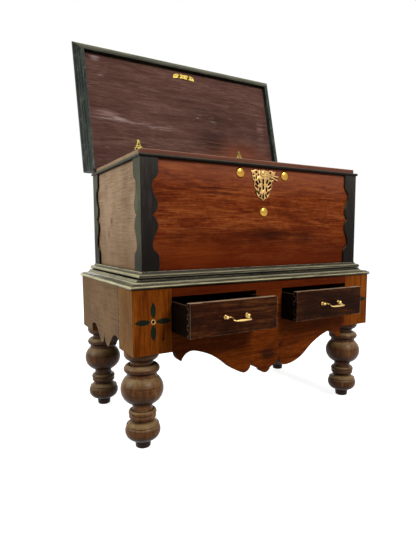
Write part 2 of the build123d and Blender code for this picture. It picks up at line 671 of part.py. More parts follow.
def chest():
    """Dovetailed boards, bottom, mouldings, studs, lock plate, lock and fixed hinge leaves."""
    panel = block(-inner_x - bottom_groove, inner_x + bottom_groove, -inner_y - bottom_groove, inner_y + bottom_groove,
                  stand_height + bottom_lift, stand_height + bottom_lift + bottom_thick)
    front = block(-chest_x, chest_x, -chest_y, -inner_y, stand_height, chest_top)
    side = block(inner_x, chest_x, -inner_y, inner_y, stand_height, chest_top)
    joints = tails(inner_x, chest_x, -inner_y, -chest_y, stand_height, chest_top, tail_pitch, tail_neck, tail_flare)
    for tail in joints:
        side += tail
        side += mirror(tail, about=Plane.XZ)
        for cut in both(tail):
            front -= cut
    rear = mirror(front, about=Plane.XZ)
    front -= panel
    rear -= panel
    side -= panel
    case = lock_case_block()
    front -= case
    front -= keyhole(-chest_y - 1, -inner_y + 1)
    cover, rivet = cover_and_pivot()
    plate = escutcheon() - rivet
    nail = turned([(0, -board / 2), (stud_shank, -board / 2), (stud_shank, 0), (stud_radius, 0), (stud_radius, 1),
                   dome(stud_radius, 1, stud_dome - 1)])
    studs = [facing(nail, x, -chest_y, z) for x, z in ((-stud_spacing / 2, rim_z - stud_drop),
                                                       (stud_spacing / 2, rim_z - stud_drop), (0, rim_z - stud_low_drop))]
    for piece in (rivet, *studs):
        front -= piece
    leaves, pins, screws = fixed_leaves()
    for piece in screws:
        rear -= piece
    save("chest_front_board", front)
    save("chest_rear_board", rear)
    save("chest_right_board", side)
    save("chest_left_board", mirror(side, about=Plane.YZ))
    save("chest_bottom", panel)
    save("escutcheon", plate)
    save("keyhole_cover", cover)
    save("cover_pivot", rivet)
    save("brass_studs", *studs)
    save("hinge_leaves", *leaves)
    save("hinge_pins", *pins)
    save("leaf_screws", *screws)
    p, o = plinth_z, plinth_out
    foot = trace([(0, p), (o - 11, p), (o - 2, p + 1.8, o, p + 7), (o - 2.2, p + 12.4, o - 7.5, p + 15),
                  (o - 11.6, p + 15.8, o - 14, p + 19), (o - 15, p + plinth_height), (0, p + plinth_height)])
    save("plinth_moulding", *mitred(foot, chest_x, chest_y, 0, o, p, plinth_top))
    bead = trace([(0, rim_z), (rim_out - 5.5, rim_z), (rim_out, rim_z + rim_height / 2, rim_out - 5.5, rim_top), (0, rim_top)])
    save("rim_moulding", *mitred(bead, chest_x, chest_y, 0, rim_out, rim_z, rim_top))
    mounts()


# ---- Hinges ----

def knuckle(x0, x1):
    """Barrel of a hinge about its axis."""
    return Pos((x0 + x1) / 2, axis_y, axis_z) * Rot(0, 90, 0) * Cylinder(knuckle_radius, x1 - x0)


def pin_bore(ease):
    """Cylinder along both hinges' axis."""
    return Pos(0, axis_y, axis_z) * Rot(0, 90, 0) * Cylinder(pin_radius + ease, 2 * (hinge_x + hinge_width))


def fixed_leaves():
    """Leaves on the rear board's top edge, their pins and screws."""
    third = hinge_width / 3
    z0 = chest_top
    leaves, pins, screws = [], [], []
    for x in (-hinge_x, hinge_x):
        x0, x1 = x - hinge_width / 2, x + hinge_width / 2
        leaf = block(x0, x1, axis_y - leaf_length, axis_y, z0, z0 + leaf_thick)
        leaf -= block(x0 + third - knuckle_gap, x1 - third + knuckle_gap, axis_y - knuckle_radius - 1, axis_y + 1,
                      z0 - 1, z0 + leaf_thick + 1)
        leaf += knuckle(x0, x0 + third - knuckle_gap) + knuckle(x1 - third + knuckle_gap, x1)
        leaf -= pin_bore(0)
        own = [screw(x + side * third, chest_y - board / 2, z0 + leaf_thick) for side in (-1, 1)]
        for piece in own:
            leaf -= piece
        leaves.append(leaf)
        screws += own
        pins.append(Pos(x, axis_y, axis_z) * Rot(0, 90, 0) * Cylinder(pin_radius, hinge_width))
    return leaves, pins, screws


def strap(x):
    """Strap under the lid with its knuckle, bar and pierced finial, in the closed lid's place."""
    b, g, n = strap_bar, strap_leg, strap_length
    half = hinge_width / 2
    outline = [(0, 6), (half, 6), (half, 20), (half - 3, 30, b, 34), (b, n - 48), (b + 1, n - 43, b + 4.5, n - 42),
               (g - 8, n - 42, g - 7, n - 48), (g - 3, n - 52, g, n - 47), (g, n - 42),
               (b + 4, n - 28, b - 1, n - 12), (b, n - 7, b - 3, n - 5), (b - 5, n - 2, 0, n)]
    face = trace(mirrored(outline))
    face -= Pos(0, n - 34) * Circle(2.6)
    face -= trace([(-3.4, n - 27), (3.4, n - 27), (1.6, n - 18, 0, n - 12), (-1.6, n - 18, -3.4, n - 27)])
    top = panel_z
    plate = Plane((x, axis_y, top - leaf_thick), (1, 0, 0), (0, 0, 1)) * mirror(extrude(face, leaf_thick), about=Plane.XZ)
    third = hinge_width / 3
    root = block(x - third / 2, x + third / 2, axis_y - 6, axis_y, top - leaf_thick, axis_z + knuckle_radius)
    own = [screw(x, axis_y - spot, top - leaf_thick, False) for spot in (13, 52, 90)]
    solid = plate + root + knuckle(x - third / 2, x + third / 2)
    solid -= pin_bore(pin_ease)
    for piece in own:
        solid -= piece
    return solid, own


# ---- Lock ----

def lock_case_block():
    """Outer block of the lock case, from the board's top edge down."""
    y0 = -inner_y - lock_let_in
    return block(-lock_length / 2, lock_length / 2, y0, y0 + lock_thick, chest_top - lock_height, chest_top)


def staple_place():
    """Middle of the staples front to back, and the level of their lower ends, with the lid closed."""
    y0 = -inner_y - lock_let_in
    middle = y0 + lock_wall + staple_width / 2 + staple_ease / 2
    return middle, panel_z - leaf_thick - staple_hang


def lock():
    """Lock case with its slots and cavity, its cover plate and the sliding bolt."""
    case = lock_case_block()
    middle, foot = staple_place()
    y0 = -inner_y - lock_let_in
    y1 = y0 + lock_thick
    cavity_floor = foot - 2 * staple_foot - bolt_thick
    half = lock_length / 2 - 2 * lock_wall + 1
    cavity = block(-half, half, y0 + lock_wall - 0.5, y1 - lock_cover_thick, cavity_floor, chest_top - lock_wall)
    lid_plate = block(-lock_length / 2, lock_length / 2, y1 - lock_cover_thick, y1, chest_top - lock_height, chest_top)
    body = case - lid_plate - cavity
    reach = staple_thick / 2 + 2
    for x in (-staple_x, staple_x):
        body -= block(x - reach, x + reach, middle - staple_width / 2 - staple_ease, middle + staple_width / 2 + staple_ease,
                      chest_top - 2 * lock_wall, chest_top + 1)
    body -= keyhole(y0 - 1, y0 + lock_thick / 2)
    thick = bolt_thick / 2
    low = cavity_floor + bolt_ease
    finger = foot + staple_foot + 1
    bar_top = low + bolt_thick
    back = -staple_x - reach - bolt_throw - bolt_thick
    bolt = block(back, staple_x - reach - bolt_throw, middle - thick, middle + thick, low, bar_top)
    for x in (-staple_x, staple_x):
        tip = x - reach
        bolt += block(tip - bolt_throw - bolt_thick, tip - bolt_throw, middle - thick, middle + thick, low, finger + bolt_thick)
        bolt += block(tip - bolt_throw - bolt_thick, tip, middle - thick, middle + thick, finger, finger + bolt_thick)
    save("lock_case", body, lid_plate)
    save("lock_bolt", bolt)


def link():
    """Link plate under the lid with its two staples, in the closed lid's place."""
    middle, foot = staple_place()
    near = axis_y - middle - link_margin
    far = near + link_width
    half = link_length / 2
    outline = [(0, near + 3), (half * 0.5, near + 2, half, near - 1), (half + 1.5, near + 6, half - 1, near + 13),
               (half - 5, far - 4, half - 12, far - 3), (half - 20, far + 1, half - 30, far - 2.5),
               (half - 40, far + 2, 0, far)]
    face = trace(mirrored(outline))
    for x, spot in ((-41, 13), (-22, 14), (-1, 14), (19, 14), (46, 13)):
        face -= Pos(x, near + spot) * Circle(screw_radius + 0.4)
    top = panel_z
    plate = Plane((0, axis_y, top - leaf_thick), (1, 0, 0), (0, 0, 1)) * mirror(extrude(face, leaf_thick), about=Plane.XZ)
    for x in (-staple_x, staple_x):
        loop = block(x - staple_thick / 2, x + staple_thick / 2, middle - staple_width / 2, middle + staple_width / 2,
                     foot, top - leaf_thick)
        loop -= block(x - staple_thick, x + staple_thick, middle - staple_width / 2 + staple_bar,
                      middle + staple_width / 2 - staple_bar, foot + staple_foot, foot + staple_foot + bolt_thick + 3)
        plate += loop
    own = [screw(46, axis_y - near - 13, top - leaf_thick, False)]
    for piece in own:
        plate -= piece
    return plate, own


# ---- Lid ----

def lid_section():
    """Section of the lid's moulding: out from its inner face and up from its crest, in shares of its flare."""
    def at(out, up):
        return (crest_thick + out * lid_flare, up * lid_height)

    return trace([(0, 0), at(-0.063, 0), (*at(-0.016, 0.014), *at(0, 0.057)), at(0, 0.136),
                  (*at(0.094, 0.277), *at(0.313, 0.33)), at(0.39, 0.33), at(0.39, 0.386),
                  (*at(0.531, 0.416), *at(0.594, 0.5)), at(0.672, 0.5), at(0.672, 0.545),
                  (*at(0.919, 0.577), *at(1, 0.705)), (*at(0.925, 0.877), *at(0.688, 0.955)),
                  (*at(0.563, 0.991), *at(0.438, 1)), (0, lid_height)])


def lid_piece(name, *solids):
    """Opens lid pieces about the hinge axis and writes them."""
    save(name, *[solid.rotate(hinge_axis, -lid_angle) for piece in solids for solid in piece.solids()])


def lid():
    """Panel, mouldings, straps, link plate and their screws."""
    rear = axis_y + lid_tail
    section = lid_section()
    out = crest_thick + lid_flare
    z0, z1 = crest_z, crest_z + lid_height
    bar = extrude(Plane((crest_x + out, crest_y, z0), (0, -1, 0), (-1, 0, 0)) * section, 2 * (crest_x + out))
    front = bar & along_z(trace([(-crest_x, crest_y), (crest_x, crest_y), (crest_x + out, crest_y - out),
                                 (-crest_x - out, crest_y - out)]), z0 - 1, z1 + 1)
    side = extrude(Plane((crest_x, rear, z0), (1, 0, 0), (0, -1, 0)) * section, rear - crest_y + out)
    side &= along_z(trace([(crest_x, crest_y), (crest_x + out, crest_y - out), (crest_x + out, rear), (crest_x, rear)]),
                    z0 - 1, z1 + 1)
    sweep_radius = axis_z - rim_top - relief_gap
    corner = block(crest_x - 1, crest_x + out + 1, axis_y, rear + 1, z0 - 1, axis_z)
    corner -= Pos(crest_x, axis_y, axis_z) * Rot(0, 90, 0) * Cylinder(sweep_radius, 3 * out)
    side -= corner
    panel = block(-crest_x, crest_x, crest_y, rear, panel_z, z1)
    screws = []
    straps = []
    for x in (-hinge_x, hinge_x):
        solid, own = strap(x)
        straps.append(solid)
        screws += own
    plate, own = link()
    screws += own
    for piece in screws:
        panel -= piece
    lid_piece("lid_panel", panel)
    lid_piece("lid_moulding_front", front)
    lid_piece("lid_moulding_right", side)
    lid_piece("lid_moulding_left", mirror(side, about=Plane.YZ))
    lid_piece("hinge_strap_left", straps[0])
    lid_piece("hinge_strap_right", straps[1])
    lid_piece("link_plate", plate)
    lid_piece("lid_screws", *screws)


os.makedirs("parts", exist_ok=True)
stand()
drawer("left", -drawer_x, left_pull)
drawer("right", drawer_x, right_pull)
chest()
lock()
lid()
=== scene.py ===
import bpy
from mathutils import Matrix, Vector


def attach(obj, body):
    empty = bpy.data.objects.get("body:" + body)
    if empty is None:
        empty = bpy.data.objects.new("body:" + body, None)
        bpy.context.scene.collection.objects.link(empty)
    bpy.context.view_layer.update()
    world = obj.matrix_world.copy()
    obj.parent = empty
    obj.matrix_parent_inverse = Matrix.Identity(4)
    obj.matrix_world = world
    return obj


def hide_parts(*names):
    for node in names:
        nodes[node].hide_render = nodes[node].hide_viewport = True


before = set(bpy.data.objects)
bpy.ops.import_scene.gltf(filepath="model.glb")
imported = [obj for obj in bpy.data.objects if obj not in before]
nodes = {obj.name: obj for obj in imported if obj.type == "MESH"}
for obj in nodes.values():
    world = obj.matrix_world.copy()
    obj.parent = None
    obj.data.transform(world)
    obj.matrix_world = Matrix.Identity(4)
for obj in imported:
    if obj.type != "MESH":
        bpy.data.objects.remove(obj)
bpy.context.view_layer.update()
print("frame loaded:", len(nodes), "nodes")


# small helpers for shader trees and colours

def radians(angle):
    return angle * 3.141592653589793 / 180


def shade(red, green, blue):  # 0-255 as a colour picker shows it, made linear
    def linear(part):
        return ((part / 255 + 0.055) / 1.055) ** 2.4 if part > 10 else part / 255 / 12.92
    return linear(red), linear(green), linear(blue)


def plug(tree, socket, value):
    if isinstance(value, bpy.types.NodeSocket):
        tree.links.new(value, socket)
    elif isinstance(value, tuple) and socket.type == "RGBA":
        socket.default_value = (*value[:3], 1)
    else:
        socket.default_value = value


def add(tree, kind, wired=None, **choices):
    made = tree.nodes.new(kind)
    for key, value in choices.items():
        setattr(made, key, value)
    for key, value in (wired or {}).items():
        plug(tree, made.inputs[key], value)
    return made


def calc(tree, operation, *values, clamp=True):  # what may pass 1 or fall below 0 is left unclamped
    made = add(tree, "ShaderNodeMath", dict(enumerate(values)), operation=operation, use_clamp=clamp)
    return made.outputs[0]


def times(tree, *values):
    total = values[0]
    for value in values[1:]:
        total = calc(tree, "MULTIPLY", total, value)
    return total


def stir(tree, values, shares):  # noises added up, each with its share
    parts = [calc(tree, "MULTIPLY", value, share) for value, share in zip(values, shares)]
    total = parts[0]
    for part in parts[1:]:
        total = calc(tree, "ADD", total, part)
    return total


def vector(tree, operation, *values, out=0):
    return add(tree, "ShaderNodeVectorMath", dict(enumerate(values)), operation=operation).outputs[out]


def tint(tree, factor, under, over):  # colours on the Mix node: factor is its input 0, the colours are 6 and 7
    return add(tree, "ShaderNodeMix", {0: factor, 6: under, 7: over}, data_type="RGBA").outputs[2]


def ramp(tree, factor, stops):
    made = add(tree, "ShaderNodeValToRGB", {"Fac": factor})
    band = made.color_ramp
    while len(band.elements) < len(stops):
        band.elements.new(0.5)
    for element, (place, colour) in zip(band.elements, stops):
        element.position = place
        element.color = (*colour[:3], 1)
    return made.outputs["Color"]


def span(tree, value, low, high, start=0.0, end=1.0):
    ends = {"Value": value, "From Min": low, "From Max": high, "To Min": start, "To Max": end}
    return add(tree, "ShaderNodeMapRange", ends).outputs["Result"]


def noise(tree, place, scale, detail=4.0, rough=0.55, bend=0.0, out="Fac"):
    run = {"Vector": place, "Scale": scale, "Detail": detail, "Roughness": rough, "Distortion": bend}
    return add(tree, "ShaderNodeTexNoise", run).outputs[out]


def squeeze(tree, place, scale):
    return add(tree, "ShaderNodeMapping", {"Vector": place, "Scale": scale}).outputs[0]


def split(tree, place):
    return add(tree, "ShaderNodeSeparateXYZ", {0: place}).outputs[:3]


def newFinish(name):
    material = bpy.data.materials.new(name)
    material.use_nodes = True
    material.node_tree.nodes.clear()
    return material, material.node_tree


def smoothCorner(tree, radius):  # the normal with its edges rounded off
    return add(tree, "ShaderNodeBevel", {"Radius": radius}, samples=4).outputs["Normal"]


def openness(tree, reach, alone=False):  # 1 in the open, less in hollows
    made = add(tree, "ShaderNodeAmbientOcclusion", {"Distance": reach}, samples=8, only_local=alone)
    return made.outputs["AO"]


cameraView = {
    "place": (-1.0230, -1.6031, 0.7320),
    "yaw": 30.21,      # degrees to the right of straight back
    "pitch": -5.50,
    "roll": 0.22,
    "lens": 28.0,
    "sensor": 36.0,
    "farthest": 60,
}


def addCamera(view):
    data = bpy.data.cameras.new("camera")
    data.sensor_fit = "VERTICAL"
    data.sensor_height = view["sensor"]
    data.lens = view["lens"]
    data.clip_end = view["farthest"]
    camera = bpy.data.objects.new("camera", data)
    bpy.context.scene.collection.objects.link(camera)
    turn = Matrix.Rotation(-radians(view["yaw"]), 4, "Z") @ Matrix.Rotation(radians(90 + view["pitch"]), 4, "X")
    roll = Matrix.Rotation(-radians(view["roll"]), 4, "Z")
    camera.matrix_world = Matrix.Translation(view["place"]) @ turn @ roll
    bpy.context.scene.camera = camera


studio = {
    "worldLevel": 0.42,
    "worldTint": (1.0, 0.99, 0.97),
    "backdrop": (1.0, 1.0, 1.0),        # what the camera and the gloss see behind
    "paper": (0.60, 0.60, 0.60),        # the floor as it is seen
    "paperGlow": 0.80,
    "paperBounce": (0.20, 0.18, 0.16),  # and as it lights the undersides
    "floorSize": 60.0,
    "lamps": {
        "keyLamp": {
            "at": (0.8, -3.2, 3.0), "to": (-0.1, -0.2, 0.75), "size": 1.4,
            "power": 128, "tint": (1.0, 0.985, 0.96),
        },
        "sideLamp": {
            "at": (-3.2, 0.5, 2.0), "to": (-0.4, 0.1, 0.7), "size": 2.0,
            "power": 74, "tint": (0.97, 1.0, 0.97),
        },
        "backLamp": {
            "at": (0.8, 3.4, 2.6), "to": (0.0, 0.2, 0.7), "size": 2.2,
            "power": 95, "tint": (1.0, 0.99, 0.97),
        },
    },
}


def seenDirectly(tree):  # 1 for what the camera, a gloss or a clear piece sees
    rays = add(tree, "ShaderNodeLightPath").outputs
    seen = rays["Is Camera Ray"]
    for kind in ("Is Glossy Ray", "Is Transmission Ray"):
        seen = calc(tree, "MAXIMUM", seen, rays[kind])
    return seen


def setStage(look):
    world = bpy.data.worlds.new("studio")
    bpy.context.scene.world = world
    world.use_nodes = True
    tree = world.node_tree
    tree.nodes.clear()
    soft = add(tree, "ShaderNodeBackground", {"Color": look["worldTint"], "Strength": look["worldLevel"]})
    white = add(tree, "ShaderNodeBackground", {"Color": look["backdrop"], "Strength": 1.0})
    both = add(tree, "ShaderNodeMixShader", {"Fac": seenDirectly(tree), 1: soft.outputs[0], 2: white.outputs[0]})
    add(tree, "ShaderNodeOutputWorld", {"Surface": both.outputs[0]})

    bpy.ops.mesh.primitive_plane_add(size=look["floorSize"], location=(0, 0, 0))
    floor = bpy.context.object
    floor.name = "floor"
    material, tree = newFinish("floorPaper")
    bounce = add(tree, "ShaderNodeBsdfDiffuse", {"Color": look["paperBounce"]})
    paper = add(tree, "ShaderNodeBsdfDiffuse", {"Color": look["paper"]})
    glow = add(tree, "ShaderNodeEmission", {"Color": look["backdrop"], "Strength": look["paperGlow"]})
    bright = add(tree, "ShaderNodeAddShader", {0: paper.outputs[0], 1: glow.outputs[0]})
    both = add(tree, "ShaderNodeMixShader", {"Fac": seenDirectly(tree), 1: bounce.outputs[0], 2: bright.outputs[0]})
    add(tree, "ShaderNodeOutputMaterial", {"Surface": both.outputs[0]})
    floor.data.materials.append(material)

    for name, lamp in look["lamps"].items():
        data = bpy.data.lights.new(name, "AREA")
        data.shape = "DISK"
        data.size = lamp["size"]
        data.energy = lamp["power"]
        data.color = lamp["tint"]
        light = bpy.data.objects.new(name, data)
        bpy.context.scene.collection.objects.link(light)
        aim = Vector(lamp["to"]) - Vector(lamp["at"])
        turn = aim.to_track_quat("-Z", "Y").to_matrix().to_4x4()
        light.matrix_world = Matrix.Translation(lamp["at"]) @ turn
    bpy.context.scene.view_settings.view_transform = "Standard"


addCamera(cameraView)
setStage(studio)
print("camera, lamps and floor set")


# A wood finish is built in layers. Grain comes first, from three tones, then what its settings name:
#   pores, clouds            how much dark the pores and the broad clouds bring
#   side, back and front     two tones of the faces that look that way, and how much of them; the side tones are a painted sheen, on the drawer fronts painted shade
#   heights                  a tone from one height to another, and how much of it
#   bands                    a line pale or dark at a height, as (height, half width, tone, how much); on the mouldings painted highlights and painted shadow lines
#   seams                    a dark joint line, the same way but by its depth from front to back
#   marks                    knots, dark figure and pale streaks, and some patches of painted light and painted shade
#   scuffs, rings            pale rubs along the grain, fine turned lines round a leg
#   top, under               a tone on what looks up (dust on the legs and drawers, dust with a painted highlight on the ebonised strips), and painted shade on what looks down (on the mounts a pale painted highlight)
#   worn, hollows            edges rubbed pale; hollows darkened with grime and painted shade

# what a wood has when its own settings don't say otherwise
plainWood = {
    "figureScale": 5.0, "streakScale": 20.0, "patchScale": 6.0,
    "grit": 0.15,           # the share of fine specks
    "reach": 0.10,          # how far the dark and light tones lie from the middle of the grain
    "pores": 0.7, "clouds": 0.45,
    "strips": False,        # the piece is a frame of strips, and on the side ones the grain turns with them
    "outside": False,       # the side tones only on the face that looks away from the chest's middle
    "alone": False,         # grime only from the piece's own hollows
    "edge": 0.003,
    # how far the hollows reach and how deep they darken, with grime and painted shade
    "grimeAndShadeReach": 0.03, "grimeAndShadeFrom": 0.85, "grimeAndShadeFull": 0.45,
    "rough": (0.45, 0.62), "shine": 0.03, "bump": 0.25,
}

# how the noises are squeezed along the grain, first the broad figure, then the narrow streaks
grainScale = {
    "x": ((0.8, 6.0, 6.0), (0.5, 13.0, 13.0)),
    "y": ((6.0, 0.8, 6.0), (13.0, 0.4, 13.0)),
    "z": ((6.0, 6.0, 0.8), (13.0, 13.0, 0.5)),
}

# detail, roughness and distortion of the noises, and first the scale of those that all the woods share
grainNoise = {
    "figure": (6.0, 0.6, 1.2),
    "streak": (6.0, 0.65),
    "patch": (6.0, 0.65),
    "pores": (60.0, 3.0, 0.5),
    "speck": (70.0, 5.0, 0.65),
    "dashes": (9.0, 5.0, 0.6),
    "waves": (9.0, 4.0, 0.65, 0.0, "Color"),
    "rubs": (22.0, 5.0, 0.7),
    "crossing": (7.0, 3.0, 0.6),
    "rings": (1.6, 4.0, 0.7),
}
ringScale = (2.0, 2.0, 150.0)
waver = 0.05  # the waves push a mark's outline about by up to half of this, in metres

# what is added up, each with its share
grainShare = {
    "grain": (0.45, 0.55),   # figure and streaks, whose share the grit comes out of
    "twoTones": (0.5, 0.5),  # streaks and patches
    "dustAndSheen": (0.4, 0.6),      # specks and patches
    "wear": (0.6, 0.4),      # patches and specks
    "relief": (0.6, 2.0),    # streaks, and specks times the grit
}

# where each layer fades in, from and to, and some with the amounts at the two ends
fadeIn = {
    "pores": (0.53, 0.62),
    "clouds": (0.50, 0.68),
    "twoTones": (0.36, 0.56),
    "side": (0.6, 0.8),
    "outside": (0.0, 0.2),
    "back": (0.4, 0.7),
    "front": (-0.4, -0.7),
    "shown": (0.7, 0.4),
    "uneven": (0.3, 0.7),
    "streaky": (0.40, 0.54, 0.45, 1.0),
    "dashes": (0.47, 0.55),
    "rubs": (0.59, 0.64),
    "rings": (0.52, 0.66),
    "dustAndSheen": (0.34, 0.52, 0.45, 1.0),
    "under": (-0.25, -0.75),
    "corner": (0.985, 0.88),
    "open": (0.5, 0.8),
    "wear": (0.40, 0.56),
    "gloss": (0.3, 0.7),
}
crossingFade = 0.14                             # the scuffs' own crossing noise fades in over this
uneven = {"heights": 0.02, "bands": 0.0006}     # metres that a height wanders up and down
core = {"bands": 0.3, "seams": 0.5}             # the part of a line's half width that has all of its tone
reliefDepth = 0.001


def mark(at, size, amount, tone, whole=0.3, soft=0.2):
    # a mark has its centre and half sizes (0 is endless), and is broken up by dashes unless it is whole
    return {"at": at, "size": size, "amount": amount, "tone": tone, "whole": whole, "soft": soft}


def woodFinish(name, settings):
    look = {**plainWood, **settings}
    material, tree = newFinish(name)
    source = add(tree, "ShaderNodeTexCoord").outputs
    place = source["Object"]
    faceX, faceY, faceZ = split(tree, source["Normal"])
    across, depth, height = split(tree, place)

    def fade(value, kind, *ends):
        return span(tree, value, *fadeIn[kind], *ends)

    def line(value, level, half, kind):
        full = half * core[kind]
        below = span(tree, value, level - half, level - full)
        above = span(tree, value, level + half, level + full)
        return times(tree, below, above)

    def wander(kind):
        change = fade(patch, "uneven", -uneven[kind], uneven[kind])
        return calc(tree, "ADD", height, change, clamp=False)

    def twoTones(tones, amount, mask):
        blend = fade(stir(tree, (streak, patch), grainShare["twoTones"]), "twoTones")
        return tint(tree, times(tree, mask, amount), colour, tint(tree, blend, *tones))

    # grain
    along = place
    if look["strips"]:
        sideways = calc(tree, "GREATER_THAN", calc(tree, "ABSOLUTE", faceX), calc(tree, "ABSOLUTE", faceY))
        quarterTurn = {"Vector": place, "Rotation": (0.0, 0.0, radians(90))}
        along = tint(tree, sideways, place, add(tree, "ShaderNodeMapping", quarterTurn).outputs[0])
    broad, narrow = (squeeze(tree, along, scale) for scale in grainScale[look["grain"]])
    figure = noise(tree, broad, look["figureScale"], *grainNoise["figure"])
    streak = noise(tree, narrow, look["streakScale"], *grainNoise["streak"])
    pores = noise(tree, narrow, *grainNoise["pores"])
    patch = noise(tree, place, look["patchScale"], *grainNoise["patch"])
    speck = noise(tree, place, *grainNoise["speck"])

    grit, reach = look["grit"], look["reach"]
    figureShare, streakShare = grainShare["grain"]
    grain = stir(tree, (figure, streak, speck), (figureShare, streakShare - grit, grit))
    dark, middle, light = look["tones"]
    colour = ramp(tree, grain, [(0.5 - reach, dark), (0.5, middle), (0.5 + reach, light)])
    colour = tint(tree, fade(pores, "pores", 0.0, look["pores"]), colour, dark)
    colour = tint(tree, fade(patch, "clouds", 0.0, look["clouds"]), colour, dark)

    # faces, heights and lines
    # the side tones paint light on the faces that look sideways, and shade on the drawer fronts' ends
    if "side" in look:
        mask = fade(calc(tree, "ABSOLUTE", faceX), "side")
        if look["outside"]:
            mask = times(tree, mask, fade(calc(tree, "MULTIPLY", faceX, across, clamp=False), "outside"))
        colour = twoTones(*look["side"], mask)
    if "back" in look:
        colour = twoTones(*look["back"], fade(faceY, "back"))
    if "front" in look:
        colour = twoTones(*look["front"], fade(faceY, "front"))
    for start, end, tone, amount in look.get("heights", []):
        mask = span(tree, wander("heights"), start, end)
        colour = tint(tree, times(tree, mask, amount), colour, tone)
    # lines at a height; on the mouldings these are painted highlights and painted shadow lines
    for level, half, tone, amount in look.get("bands", []):
        mask = line(wander("bands"), level, half, "bands")
        colour = tint(tree, times(tree, mask, fade(streak, "streaky"), amount), colour, tone)
    for level, half, tone, amount in look.get("seams", []):
        mask = line(depth, level, half, "seams")
        colour = tint(tree, times(tree, mask, amount), colour, tone)

    # marks and rubs, which stay off a board's other face
    shown = fade(faceY, "shown") if "back" in look else 1.0
    if "marks" in look:
        dashes = noise(tree, narrow, *grainNoise["dashes"])
        wavy = vector(tree, "SUBTRACT", noise(tree, broad, *grainNoise["waves"]), (0.5, 0.5, 0.5))
        wavy = vector(tree, "MULTIPLY_ADD", wavy, (waver, waver, waver), place)
    for spot in look.get("marks", []):
        away = vector(tree, "SUBTRACT", wavy, spot["at"])
        away = vector(tree, "MULTIPLY", away, tuple(1 / part if part else 0.0 for part in spot["size"]))
        mask = span(tree, vector(tree, "LENGTH", away, out="Value"), 1.0, spot["soft"])
        broken = fade(dashes, "dashes", spot["whole"], 1.0)
        colour = tint(tree, times(tree, mask, broken, shown, spot["amount"]), colour, spot["tone"])
    if "scuffs" in look:
        begin, tone, amount = look["scuffs"]
        rubs = fade(noise(tree, narrow, *grainNoise["rubs"]), "rubs")
        crossing = span(tree, noise(tree, place, *grainNoise["crossing"]), begin, begin + crossingFade)
        colour = tint(tree, times(tree, rubs, crossing, shown, amount), colour, tone)
    if "rings" in look:
        tone, amount = look["rings"]
        rings = fade(noise(tree, squeeze(tree, place, ringScale), *grainNoise["rings"]), "rings")
        colour = tint(tree, times(tree, rings, amount), colour, tone)

    # dust with painted highlights, painted shade, grime and wear
    # what looks up: dust, and on the ebonised strips also a painted highlight
    if "top" in look:
        tone, amount, begin, full = look["top"]
        dustAndSheen = fade(stir(tree, (speck, patch), grainShare["dustAndSheen"]), "dustAndSheen")
        colour = tint(tree, times(tree, span(tree, faceZ, begin, full), dustAndSheen, amount), colour, tone)
    # painted shade on what looks down; on the mounts a pale painted highlight instead
    if "under" in look:
        tone, amount = look["under"]
        colour = tint(tree, times(tree, fade(faceZ, "under"), amount), colour, tone)
    corner = smoothCorner(tree, look["edge"])
    hollow = openness(tree, look["grimeAndShadeReach"], look["alone"])
    # hollows darkened by occlusion: grime together with painted shade
    if "grimeAndShade" in look:
        tone, amount = look["grimeAndShade"]
        mask = span(tree, hollow, look["grimeAndShadeFrom"], look["grimeAndShadeFull"])
        colour = tint(tree, times(tree, mask, amount), colour, tone)
    if "worn" in look:
        tone, amount = look["worn"]
        flat = add(tree, "ShaderNodeNewGeometry").outputs["Normal"]
        edge = fade(vector(tree, "DOT_PRODUCT", corner, flat, out="Value"), "corner")
        wear = fade(stir(tree, (patch, speck), grainShare["wear"]), "wear")
        colour = tint(tree, times(tree, edge, fade(hollow, "open"), wear, amount), colour, tone)

    streakRise, speckRise = grainShare["relief"]
    relief = stir(tree, (streak, speck), (streakRise, speckRise * grit))
    bump = add(tree, "ShaderNodeBump", {
        "Strength": look["bump"], "Distance": reliefDepth, "Height": relief, "Normal": corner,
    })
    surface = add(tree, "ShaderNodeBsdfPrincipled", {
        "Base Color": colour, "Roughness": fade(speck, "gloss", *look["rough"]),
        "Normal": bump.outputs[0], "Specular IOR Level": look["shine"],
    })
    add(tree, "ShaderNodeOutputMaterial", {"Surface": surface.outputs[0]})
    return material


